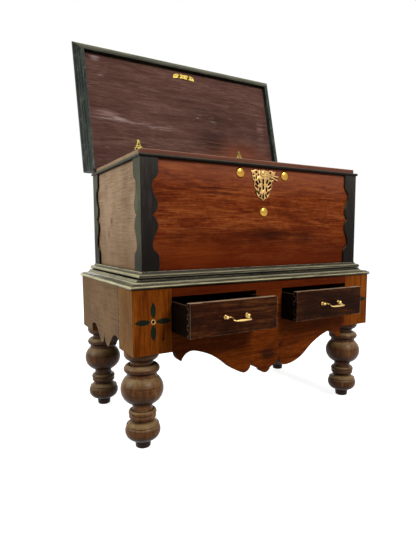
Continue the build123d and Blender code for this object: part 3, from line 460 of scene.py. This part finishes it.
chestBoards = {
    "chestFront": {
        "grain": "x", "tones": (shade(78, 26, 6), shade(114, 50, 17), shade(140, 74, 34)),
        "patchScale": 5.0, "reach": 0.075,
        "back": ((shade(70, 40, 26), shade(96, 60, 40)), 0.9),
        # paler towards the top and darker towards the bottom: painted light and painted shade
        "heights": [(0.88, 1.0, shade(142, 84, 62), 0.6), (0.78, 0.62, shade(82, 24, 2), 0.9)],
        "bands": [(1.006, 0.014, shade(90, 60, 50), 0.9), (1.0148, 0.0016, shade(150, 124, 108), 0.8)],
        "marks": [
            mark((-0.191, 0, 0.890), (0.15, 0, 0.022), 0.9, shade(58, 18, 8), whole=0.0),
            mark((-0.22, 0, 0.906), (0.11, 0, 0.010), 0.8, shade(58, 18, 8), whole=0.0),
            mark((-0.278, 0, 0.977), (0.12, 0, 0.016), 0.5, shade(78, 32, 16), whole=0.1),
            mark((-0.014, 0, 0.728), (0.36, 0, 0.056), 0.75, shade(62, 20, 3), whole=0.45, soft=0.3),
            mark((0.055, 0, 0.737), (0.14, 0, 0.026), 0.9, shade(36, 11, 4), whole=0.65),
            mark((0.216, 0, 0.727), (0.08, 0, 0.032), 0.85, shade(42, 16, 5), whole=0.6),
            mark((0.25, 0, 0.83), (0.20, 0, 0.05), 0.35, shade(78, 34, 12), whole=0.1),
            # painted shade behind the lock plate, so that its openings look deep
            mark((0.0, 0, 0.950), (0.050, 0, 0.028), 1.0, shade(14, 6, 3), whole=1.0, soft=0.8),
            mark((0.0, 0, 0.927), (0.046, 0, 0.020), 1.0, shade(14, 6, 3), whole=1.0, soft=0.8),
            mark((0.0, 0, 0.906), (0.035, 0, 0.038), 1.0, shade(14, 6, 3), whole=1.0, soft=0.8),
            mark((0.313, 0, 0.929), (0.028, 0, 0.014), 0.8, shade(62, 26, 12)),
            mark((0.319, 0, 0.784), (0.034, 0, 0.014), 0.7, shade(54, 20, 6)),
            mark((0.284, 0, 0.764), (0.040, 0, 0.013), 0.7, shade(54, 20, 6)),
            mark((-0.366, 0, 0.726), (0.045, 0, 0.030), 0.65, shade(60, 24, 8)),
            # a paler patch low on the left and a darker one low on the right: painted light and painted shade
            mark((-0.31, 0, 0.665), (0.17, 0, 0.05), 0.5, shade(116, 52, 12), whole=0.6, soft=0.3),
            mark((0.36, 0, 0.67), (0.20, 0, 0.07), 0.6, shade(64, 20, 4), whole=0.5, soft=0.3),
        ],
        "top": (shade(58, 28, 24), 0.95, 0.6, 0.9),
        "worn": (shade(160, 122, 102), 0.7), "grimeAndShade": (shade(40, 18, 10), 0.5),
    },
    "chestSide": {
        "grain": "y", "tones": (shade(70, 40, 26), shade(90, 56, 38), shade(112, 74, 52)),
        "grit": 0.04, "pores": 0.3, "clouds": 0.2,
        # the pale tan side tones are a painted sheen on the outer faces, turning to a darker tan lower down
        "side": ((shade(112, 88, 66), shade(164, 138, 112)), 0.95), "outside": True,
        "heights": [(0.86, 0.60, shade(112, 84, 58), 0.65)],
        "marks": [
            mark((-0.492, 0.057, 0.79), (0.05, 0.022, 0.030), 0.8, shade(70, 44, 26)),
            mark((-0.492, -0.150, 0.79), (0.05, 0.04, 0.018), 0.55, shade(96, 68, 44), whole=0.0),
            mark((-0.492, 0.09, 0.735), (0.05, 0.02, 0.035), 0.65, shade(78, 50, 30)),
            mark((-0.492, 0.0, 0.66), (0.05, 0.15, 0.010), 0.4, shade(96, 68, 44), whole=0.0),
        ],
        "top": (shade(72, 40, 32), 0.95, 0.6, 0.9),
        "worn": (shade(180, 160, 136), 0.5), "grimeAndShade": (shade(50, 34, 22), 0.6),
    },
    "chestBack": {
        "grain": "x", "tones": (shade(64, 34, 18), shade(94, 54, 32), shade(116, 74, 46)),
        "top": (shade(72, 34, 28), 0.95, 0.6, 0.9),
        "worn": (shade(150, 120, 96), 0.4), "grimeAndShade": (shade(34, 20, 12), 0.6),
    },
    "chestFloor": {
        "grain": "x", "tones": (shade(62, 38, 24), shade(92, 62, 42), shade(116, 84, 60)),
        "grimeAndShade": (shade(30, 18, 12), 0.7), "rough": (0.6, 0.8),
    },
}

standWood = {
    "standFront": {
        "grain": "x", "tones": (shade(64, 22, 2), shade(98, 42, 5), shade(124, 60, 14)),
        # darker at the top, on the rail: painted shade under the stand moulding
        "heights": [(0.49, 0.53, shade(74, 20, 3), 0.75)],
        "marks": [
            mark((0.002, 0, 0.276), (0.050, 0, 0.030), 0.95, shade(36, 13, 4), whole=0.8, soft=0.5),
            mark((0.059, 0, 0.307), (0.014, 0, 0.012), 0.9, shade(34, 12, 4), whole=0.8),
            mark((0.162, 0, 0.322), (0.05, 0, 0.022), 0.35, shade(50, 18, 4), whole=0.1),
            mark((-0.387, 0, 0.338), (0.05, 0, 0.022), 0.5, shade(44, 14, 2), whole=0.2),
            mark((-0.321, 0, 0.537), (0.12, 0, 0.018), 0.5, shade(56, 14, 2), whole=0.2),
        ],
        "under": (shade(24, 12, 6), 0.9), "worn": (shade(120, 66, 26), 0.2), "grimeAndShade": (shade(30, 12, 4), 0.6),
    },
    "standPost": {
        "grain": "z", "tones": (shade(84, 34, 3), shade(116, 57, 8), shade(140, 76, 20)), "grit": 0.06,
        # the side tones are a painted sheen on the faces that look sideways
        "side": ((shade(88, 54, 22), shade(124, 88, 42)), 0.95),
        "back": ((shade(78, 44, 20), shade(104, 64, 34)), 0.9),
        "seams": [(-0.1695, 0.0012, shade(22, 12, 6), 0.9)],
        "marks": [
            mark((-0.548, 0.245, 0.45), (0.04, 0.11, 0.5), 0.85, shade(96, 72, 46), whole=1.0, soft=0.7),
            mark((0.548, 0.245, 0.45), (0.04, 0.11, 0.5), 0.85, shade(96, 72, 46), whole=1.0, soft=0.7),
            mark((-0.418, 0, 0.530), (0.012, 0, 0.050), 0.7, shade(48, 16, 4)),
            mark((0.508, 0, 0.453), (0.04, 0, 0.012), 0.5, shade(50, 18, 6)),
        ],
        "under": (shade(30, 16, 8), 0.9), "worn": (shade(160, 112, 70), 0.5), "grimeAndShade": (shade(30, 14, 6), 0.6),
    },
    "standSide": {
        "grain": "y", "tones": (shade(60, 36, 20), shade(84, 54, 32), shade(104, 72, 46)),
        "grit": 0.04, "pores": 0.3,
        # the side tones are a painted sheen on the outer faces
        "side": ((shade(74, 49, 28), shade(118, 90, 60)), 0.95),
        "seams": [(-0.1685, 0.0022, shade(22, 12, 6), 0.9), (0.1685, 0.0022, shade(30, 18, 10), 0.7)],
        "under": (shade(34, 22, 14), 0.9), "worn": (shade(156, 132, 102), 0.5), "grimeAndShade": (shade(30, 20, 12), 0.6),
    },
    "standBack": {
        "grain": "x", "tones": (shade(54, 30, 14), shade(82, 48, 24), shade(104, 66, 36)),
        "under": (shade(24, 12, 6), 0.9), "worn": (shade(140, 104, 70), 0.35), "grimeAndShade": (shade(26, 14, 8), 0.6),
    },
    "runnerWood": {
        "grain": "y", "tones": (shade(40, 24, 14), shade(60, 38, 24), shade(80, 54, 36)),
        "grimeAndShade": (shade(20, 12, 8), 0.8), "rough": (0.6, 0.8),
    },
    "pegEnd": {
        "grain": "y", "tones": (shade(20, 10, 5), shade(34, 16, 8), shade(50, 26, 14)),
    },
}

legWood = {
    "turnedLeg": {
        "grain": "z", "tones": (shade(58, 30, 12), shade(98, 60, 27), shade(136, 94, 52)),
        "streakScale": 6.0, "figureScale": 2.0, "patchScale": 22.0, "pores": 0.1, "clouds": 0.75,
        "heights": [(0.046, 0.030, shade(12, 6, 4), 0.97)],
        "marks": [
            # the rear-left leg darkened as painted shade, the front-right leg darker and redder
            mark((-0.49, 0.231, 0.2), (0.10, 0.10, 0.5), 0.7, shade(44, 27, 12), whole=0.8, soft=0.6),
            mark((0.49, -0.231, 0.2), (0.10, 0.10, 0.5), 0.65, shade(54, 23, 7), whole=0.8, soft=0.6),
        ],
        "rings": (shade(40, 20, 8), 0.7),
        "top": (shade(146, 122, 84), 0.8, 0.25, 0.9), "under": (shade(34, 17, 7), 0.85),
        "worn": (shade(156, 134, 108), 0.5), "grimeAndShade": (shade(34, 13, 4), 1.0),
        "grimeAndShadeReach": 0.05, "grimeAndShadeFrom": 0.8, "grimeAndShadeFull": 0.4,
        "edge": 0.002, "shine": 0.12, "rough": (0.30, 0.42),
    },
}

ebonisedWood = {
    "plinthPaint": {
        "grain": "x", "strips": True, "patchScale": 9.0,
        "tones": (shade(10, 9, 6), shade(50, 47, 35), shade(124, 118, 92)),
        # the side strips are painted paler: painted light
        "side": ((shade(108, 104, 74), shade(204, 194, 148)), 0.9),
        # the pale lines are painted highlights, the black ones painted shadow lines and dark joints
        "bands": [
            (0.6103, 0.0020, shade(10, 8, 5), 1.0),
            (0.6045, 0.0020, shade(168, 160, 128), 0.7),
            (0.6005, 0.0014, shade(56, 52, 36), 0.6),
            (0.5970, 0.0016, shade(150, 146, 122), 0.7),
            (0.5920, 0.0030, shade(2, 1, 1), 1.0),
            (0.5870, 0.0018, shade(34, 34, 24), 0.8),
            (0.5795, 0.0020, shade(226, 220, 186), 0.8),
            (0.5752, 0.0016, shade(60, 54, 38), 0.8),
            (0.5692, 0.0024, shade(206, 196, 152), 0.75),
            (0.5615, 0.0028, shade(6, 4, 3), 0.9),
        ],
        # dust with a painted highlight on what looks up, painted shade underneath, and grime with painted shade
        # between the steps
        "top": (shade(130, 124, 96), 0.4, 0.5, 0.98), "under": (shade(4, 3, 2), 1.0),
        "worn": (shade(232, 214, 176), 1.0), "grimeAndShade": (shade(5, 5, 3), 1.0),
        "grimeAndShadeReach": 0.016, "grimeAndShadeFrom": 0.92, "grimeAndShadeFull": 0.68,
        "edge": 0.0018, "shine": 0.12, "rough": (0.35, 0.5),
    },
    "rimPaint": {
        "grain": "x", "strips": True, "tones": (shade(14, 10, 8), shade(26, 20, 17), shade(38, 30, 26)),
        # the side strips painted paler for their lit upper half, and the undersides painted shade
        "side": ((shade(64, 64, 48), shade(90, 88, 66)), 0.8),
        "top": (shade(110, 104, 84), 0.5, 0.3, 0.8), "under": (shade(10, 9, 7), 1.0),
        "worn": (shade(150, 130, 104), 0.4), "edge": 0.0015, "shine": 0.06, "rough": (0.35, 0.5),
    },
    "lidPaint": {
        "grain": "x", "strips": True, "alone": True,
        "tones": (shade(14, 16, 12), shade(34, 38, 30), shade(66, 70, 58)),
        # the forward-looking crests painted paler as a highlight
        "front": ((shade(60, 60, 46), shade(118, 116, 94)), 0.8),
        # a painted shadow band on the inner wall, a mid band, and a pale painted highlight along the crest
        "bands": [
            (1.5590, 0.0170, shade(14, 16, 12), 0.85),
            (1.5700, 0.0050, shade(48, 50, 40), 0.6),
            (1.5835, 0.0030, shade(150, 148, 124), 0.7),
        ],
        "top": (shade(128, 126, 106), 0.8, 0.2, 0.8),
        "worn": (shade(150, 146, 124), 0.7), "grimeAndShade": (shade(8, 9, 7), 0.95),
        "grimeAndShadeReach": 0.014, "grimeAndShadeFrom": 0.9, "grimeAndShadeFull": 0.6,
        "edge": 0.0015, "shine": 0.12, "rough": (0.35, 0.5),
    },
    "lidEndPaint": {
        "grain": "z", "alone": True, "reach": 0.12,
        "tones": (shade(9, 15, 13), shade(28, 36, 31), shade(84, 94, 84)),
        "top": (shade(130, 128, 106), 0.85, 0.25, 0.75),
        "worn": (shade(176, 174, 148), 0.9), "grimeAndShade": (shade(8, 10, 9), 0.95),
        "grimeAndShadeReach": 0.014, "grimeAndShadeFrom": 0.9, "grimeAndShadeFull": 0.6,
        "edge": 0.0015, "shine": 0.12, "rough": (0.35, 0.5),
    },
    "mountPaint": {
        "grain": "z", "tones": (shade(24, 20, 17), shade(36, 31, 28), shade(50, 45, 42)), "grit": 0.05,
        # the side tones are a painted sheen on the side mounts; undersides get a pale painted highlight, tops dust
        # with a painted highlight
        "side": ((shade(44, 46, 32), shade(92, 92, 70)), 0.9),
        "heights": [(0.85, 0.66, shade(14, 10, 7), 0.85), (0.90, 1.0, shade(60, 56, 52), 0.55)],
        "top": (shade(120, 116, 92), 0.5, 0.2, 0.7), "under": (shade(98, 96, 78), 0.55),
        "worn": (shade(130, 122, 96), 0.6), "edge": 0.0012, "shine": 0.05, "rough": (0.4, 0.55),
    },
    "petalPaint": {
        "grain": "z", "tones": (shade(14, 16, 8), shade(22, 26, 14), shade(34, 38, 22)),
        "worn": (shade(150, 124, 76), 0.8), "edge": 0.0009, "shine": 0.05,
    },
}

lidWood = {
    "lidBoard": {
        "grain": "x", "alone": True, "patchScale": 5.0, "reach": 0.14, "grit": 0.06,
        "tones": (shade(62, 38, 32), shade(90, 62, 54), shade(112, 82, 72)),
        "back": ((shade(84, 36, 18), shade(120, 60, 34)), 0.95),
        "marks": [
            mark((0.26, 0.30, 1.13), (0.25, 0, 0.12), 0.75, shade(118, 60, 34), whole=0.7),
            mark((0.13, 0.30, 1.20), (0.13, 0, 0.10), 0.85, shade(38, 24, 18), whole=0.5),
            mark((0.13, 0.30, 1.33), (0.20, 0, 0.08), 0.65, shade(52, 36, 26), whole=0.5),
            mark((-0.33, 0.30, 1.255), (0.17, 0, 0.008), 0.75, shade(186, 160, 156), whole=0.35),
            mark((-0.41, 0.30, 1.275), (0.07, 0, 0.030), 0.5, shade(160, 130, 126), whole=0.0),
            mark((-0.17, 0.30, 1.245), (0.12, 0, 0.006), 0.7, shade(180, 150, 146), whole=0.4),
            mark((0.443, 0.30, 1.30), (0.03, 0, 0.08), 0.45, shade(150, 110, 112), whole=0.0),
            mark((-0.441, 0.30, 1.53), (0.03, 0, 0.012), 0.6, shade(180, 160, 156), whole=0.0),
        ],
        "scuffs": (0.54, shade(170, 142, 134), 0.7),
        "worn": (shade(150, 120, 106), 0.5), "grimeAndShade": (shade(14, 10, 8), 0.9), "rough": (0.5, 0.7),
    },
}

drawerWood = {
    "drawerFront": {
        "grain": "x", "alone": True, "reach": 0.08, "clouds": 0.85, "patchScale": 16.0,
        "tones": (shade(28, 10, 4), shade(56, 25, 9), shade(84, 48, 23)),
        # the ends and the inner face painted near black: painted shade
        "side": ((shade(8, 3, 2), shade(20, 8, 4)), 0.9), "back": ((shade(20, 10, 6), shade(30, 16, 10)), 0.95),
        # the right drawer's front darkened: painted shade
        "marks": [mark((0.236, 0, 0.467), (0.24, 0, 0.09), 0.85, shade(20, 7, 2), whole=0.6, soft=0.5)],
        "top": (shade(150, 124, 100), 0.85, 0.6, 0.9), "worn": (shade(200, 172, 140), 0.95), "edge": 0.0025,
    },
    "drawerBoardsInShade": {
        # near-black tones: painted shade on the drawer sides and insides
        "grain": "y", "tones": (shade(5, 2, 1), shade(9, 4, 2), shade(18, 8, 4)), "alone": True,
        "top": (shade(66, 46, 32), 0.6, 0.6, 0.9), "worn": (shade(80, 56, 40), 0.3), "edge": 0.0015,
    },
}

woods = {**chestBoards, **standWood, **legWood, **ebonisedWood, **lidWood, **drawerWood}

metals = {
    "plateBrass": {"bright": shade(196, 158, 100), "tarnishAndShade": shade(90, 60, 28), "rough": (0.30, 0.50), "dulled": 0.85},
    "linkBrass": {"bright": shade(194, 168, 84), "tarnishAndShade": shade(84, 66, 28), "rough": (0.30, 0.5), "dulled": 0.8},
    "studBrass": {"bright": shade(190, 144, 62), "tarnishAndShade": shade(88, 56, 18), "rough": (0.20, 0.36), "dulled": 0.6},
    "handleBrass": {"bright": shade(216, 180, 110), "tarnishAndShade": shade(104, 76, 40), "rough": (0.22, 0.40), "dulled": 0.5},
    "lidBrass": {"bright": shade(118, 104, 54), "tarnishAndShade": shade(58, 46, 20), "rough": (0.40, 0.6), "dulled": 0.85},
    "wroughtIron": {"bright": shade(92, 88, 84), "tarnishAndShade": shade(34, 28, 24), "rough": (0.4, 0.7), "dulled": 0.6},
}

# what all the metals share
metalSkin = {
    "cloud": (60.0, 5.0, 0.65), "cloudFade": (0.46, 0.70),
    # down-facing brass takes the dull tone as painted shade
    "under": (-0.1, -0.8), "underShadeShare": 0.8,
    # hollows and openings darkened: painted contact shadow
    "hollowShadeReach": 0.010, "hollow": (0.80, 0.45, 0.0, 0.9), "hollowShadeTone": shade(30, 18, 8),
    "beaten": (190.0, 2.0), "bump": 0.15, "beatenDepth": 0.0006,
    "edge": 0.0006, "gloss": (0.3, 0.7),
}


def metalFinish(name, look):
    material, tree = newFinish(name)
    source = add(tree, "ShaderNodeTexCoord").outputs
    cloud = noise(tree, source["Object"], *metalSkin["cloud"])
    beaten = noise(tree, source["Object"], *metalSkin["beaten"])
    faceZ = split(tree, source["Normal"])[2]
    clouded = times(tree, span(tree, cloud, *metalSkin["cloudFade"]), look["dulled"])
    # painted shade on what looks down, in the same dull tone as the tarnish
    shaded = times(tree, span(tree, faceZ, *metalSkin["under"]), metalSkin["underShadeShare"])
    colour = tint(tree, calc(tree, "MAXIMUM", clouded, shaded), look["bright"], look["tarnishAndShade"])
    # painted contact shadow in the hollows
    hollow = span(tree, openness(tree, metalSkin["hollowShadeReach"]), *metalSkin["hollow"])
    colour = tint(tree, hollow, colour, metalSkin["hollowShadeTone"])
    bump = add(tree, "ShaderNodeBump", {
        "Strength": metalSkin["bump"], "Distance": metalSkin["beatenDepth"], "Height": beaten,
        "Normal": smoothCorner(tree, metalSkin["edge"]),
    })
    surface = add(tree, "ShaderNodeBsdfPrincipled", {
        "Base Color": colour, "Roughness": span(tree, cloud, *metalSkin["gloss"], *look["rough"]),
        "Normal": bump.outputs[0], "Metallic": 1.0,
    })
    add(tree, "ShaderNodeOutputMaterial", {"Surface": surface.outputs[0]})
    return material


# which finish each piece gets, by how its name starts: the first that fits
dressing = {
    "leg_": "turnedLeg",
    "corner_post": "standPost",
    "stand_top_rail": "standFront",
    "centre_stile": "standFront",
    "front_apron": "standFront",
    "rear_apron": "standBack",
    "left_apron": "standSide",
    "right_apron": "standSide",
    "joint_pegs": "pegEnd",
    "drawer_runners": "runnerWood",
    "chest_front": "chestFront",
    "chest_rear": "chestBack",
    "chest_left": "chestSide",
    "chest_right": "chestSide",
    "chest_bottom": "chestFloor",
    "stand_moulding": "plinthPaint",
    "plinth_moulding": "plinthPaint",
    "rim_moulding": "rimPaint",
    "lid_moulding_front": "lidPaint",
    "lid_moulding": "lidEndPaint",
    "corner_mount": "mountPaint",
    "inlay_petals": "petalPaint",
    "lid_panel": "lidBoard",
    "drawer_left_front": "drawerFront",
    "drawer_right_front": "drawerFront",
    "drawer_": "drawerBoardsInShade",
    "escutcheon": "plateBrass",
    "keyhole_cover": "plateBrass",
    "cover_pivot": "plateBrass",
    "brass_studs": "studBrass",
    "inlay_eyelets": "plateBrass",
    "link_plate": "linkBrass",
    "hinge_leaves": "lidBrass",
    "hinge_strap": "lidBrass",
    "handle_": "handleBrass",
    "lock_": "wroughtIron",
    "hinge_pins": "wroughtIron",
    "lid_screws": "wroughtIron",
    "leaf_screws": "wroughtIron",
}

finishes = {name: woodFinish(name, look) for name, look in woods.items()}
finishes.update({name: metalFinish(name, look) for name, look in metals.items()})
for name, node in nodes.items():
    kind = next(dressing[start] for start in dressing if name.startswith(start))
    for slot in node.material_slots:
        slot.material = finishes[kind]
print("finishes on", len(nodes), "nodes")


# modelling by hand: one piece is active, and what an operator should act on is selected first

def takeUp(piece, *others):
    bpy.ops.object.select_all(action="DESELECT")
    for item in (*others, piece):
        item.select_set(True)
    bpy.context.view_layer.objects.active = piece


def pickFaces(piece, wanted):  # from object mode into edit mode with only these faces selected
    takeUp(piece)
    bpy.ops.object.mode_set(mode="EDIT")
    bpy.ops.mesh.select_mode(type="FACE")
    bpy.ops.mesh.select_all(action="DESELECT")
    bpy.ops.object.mode_set(mode="OBJECT")
    for polygon in piece.data.polygons:
        polygon.select = wanted(polygon)
    bpy.ops.object.mode_set(mode="EDIT")


def editAll():  # the active piece in edit mode, selected all over
    bpy.ops.object.mode_set(mode="EDIT")
    bpy.ops.mesh.select_all(action="SELECT")


def addRound(sides, radius, depth, middle):  # a cylinder that lies from front to back
    bpy.ops.mesh.primitive_cylinder_add(
        vertices=sides, radius=radius, depth=depth, location=middle, rotation=(radians(90), 0, 0))
    return bpy.context.object


def joined(pieces):
    takeUp(*pieces)
    bpy.ops.object.join()
    return bpy.context.object


def settle(piece, name):  # its place goes into its mesh
    takeUp(piece)
    bpy.ops.object.transform_apply(location=True, rotation=True, scale=True)
    piece.name = name
    piece.data.name = name
    return piece


def finishPiece(piece, finish, body, node):
    piece.data.materials.clear()
    piece.data.materials.append(finishes[finish])
    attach(piece, body)
    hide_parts(node)


# the pierced lock plate: the frame's plate with its openings cut to their full width and its edges eased
lockPlate = {
    "middle": -0.26625, "cutDepth": 0.02, "cutSides": 20,
    "half": 0.060, "top": 0.980, "drop": 0.1166,
    "slots": [  # two ends in shares of the half width and the drop, each with its radius
        (0.0, 0.320, 0.0042, 0.0, 0.430, 0.0042),
        (0.0, 0.510, 0.0036, 0.0, 0.590, 0.0050),
        (0.0, 0.762, 0.0022, 0.0, 0.888, 0.0054),
    ],
    "pairs": [  # the same on both sides
        (0.275, 0.405, 0.0044, 0.358, 0.320, 0.0032), (0.423, 0.463, 0.0042, 0.540, 0.396, 0.0054),
        (0.427, 0.581, 0.0040, 0.580, 0.528, 0.0054), (0.253, 0.582, 0.0042, 0.273, 0.685, 0.0032),
        (0.320, 0.764, 0.0046, 0.442, 0.700, 0.0036), (0.162, 0.785, 0.0025, 0.245, 0.856, 0.0045),
        (0.550, 0.290, 0.0028, 0.530, 0.205, 0.0028), (0.755, 0.266, 0.0028, 0.670, 0.290, 0.0028),
    ],
    "eyes": [(0.558, 0.083, 0.0056), (0.770, 0.164, 0.0037), (0.372, 0.165, 0.0039)],
    "mergeWithin": 0.00001, "tidyWithin": 0.00002,
    "flatTo": 2,       # degrees
    "ease": 0.0004, "easeSteps": 2, "easeFrom": 50, "smoothTo": 35,
}


def cutRound(side, across, down, radius):
    middle = (side * across * lockPlate["half"], lockPlate["middle"], lockPlate["top"] - down * lockPlate["drop"])
    return addRound(lockPlate["cutSides"], radius, lockPlate["cutDepth"], middle)


def cutSlot(side, ends):
    slot = joined([cutRound(side, *ends[:3]), cutRound(side, *ends[3:])])
    editAll()
    bpy.ops.mesh.convex_hull()
    bpy.ops.object.mode_set(mode="OBJECT")
    return slot


def makeLockPlate():
    plate = bpy.data.objects.new("lockPlate", nodes["escutcheon"].data.copy())
    bpy.context.scene.collection.objects.link(plate)
    takeUp(plate)
    editAll()
    bpy.ops.mesh.remove_doubles(threshold=lockPlate["mergeWithin"])
    bpy.ops.object.mode_set(mode="OBJECT")

    cuts = [cutSlot(1, ends) for ends in lockPlate["slots"]]
    for side in (-1, 1):
        cuts += [cutSlot(side, ends) for ends in lockPlate["pairs"]]
        cuts += [cutRound(side, *eye) for eye in lockPlate["eyes"]]
    cutter = joined(cuts)
    takeUp(plate)
    pierce = plate.modifiers.new("pierce", "BOOLEAN")
    pierce.operation = "DIFFERENCE"
    pierce.solver = "EXACT"
    pierce.use_self = True
    pierce.object = cutter
    bpy.ops.object.modifier_apply(modifier=pierce.name)
    bpy.data.objects.remove(cutter)

    editAll()
    bpy.ops.mesh.remove_doubles(threshold=lockPlate["tidyWithin"])
    bpy.ops.mesh.dissolve_limited(angle_limit=radians(lockPlate["flatTo"]))
    bpy.ops.object.mode_set(mode="OBJECT")
    ease = plate.modifiers.new("ease", "BEVEL")
    ease.width = lockPlate["ease"]
    ease.segments = lockPlate["easeSteps"]
    ease.limit_method = "ANGLE"
    ease.angle_limit = radians(lockPlate["easeFrom"])
    bpy.ops.object.modifier_apply(modifier=ease.name)
    bpy.ops.object.shade_smooth_by_angle(angle=radians(lockPlate["smoothTo"]))
    return plate


finishPiece(makeLockPlate(), "plateBrass", "base", "escutcheon")
print("lock plate pierced")


# three domed studs round the lock plate
brassStuds = {
    "radius": 0.0183, "rise": 0.0076, "rim": 0.0012,
    "sides": 40, "smoothTo": 50,
    "boardFace": -0.265,
    "at": [(-0.1045, 0.964), (0.1045, 0.964), (0.004, 0.822)],
    "rings": [12, 26, 40, 54, 68, 80],  # degrees up the dome
}


def makeStud(x, z):
    radius, rim = brassStuds["radius"], brassStuds["rim"]
    stud = addRound(brassStuds["sides"], radius, rim, (x, brassStuds["boardFace"] - rim / 2, z))
    settle(stud, "stud")
    pickFaces(stud, lambda polygon: polygon.normal.y < -0.9)  # the face that looks forward
    wide, high = radius, 0.0
    for angle in brassStuds["rings"]:
        turned = Matrix.Rotation(radians(angle), 2) @ Vector((1.0, 0.0))
        nextWide, nextHigh = radius * turned[0], (brassStuds["rise"] - rim) * turned[1]
        bpy.ops.mesh.inset(thickness=wide - nextWide, depth=nextHigh - high)
        wide, high = nextWide, nextHigh
    bpy.ops.mesh.poke()
    bpy.ops.object.mode_set(mode="OBJECT")
    bpy.ops.object.shade_smooth_by_angle(angle=radians(brassStuds["smoothTo"]))
    return stud


studs = joined([makeStud(x, z) for x, z in brassStuds["at"]])
finishPiece(settle(studs, "brassStuds"), "studBrass", "base", "brass_studs")
print("studs domed")
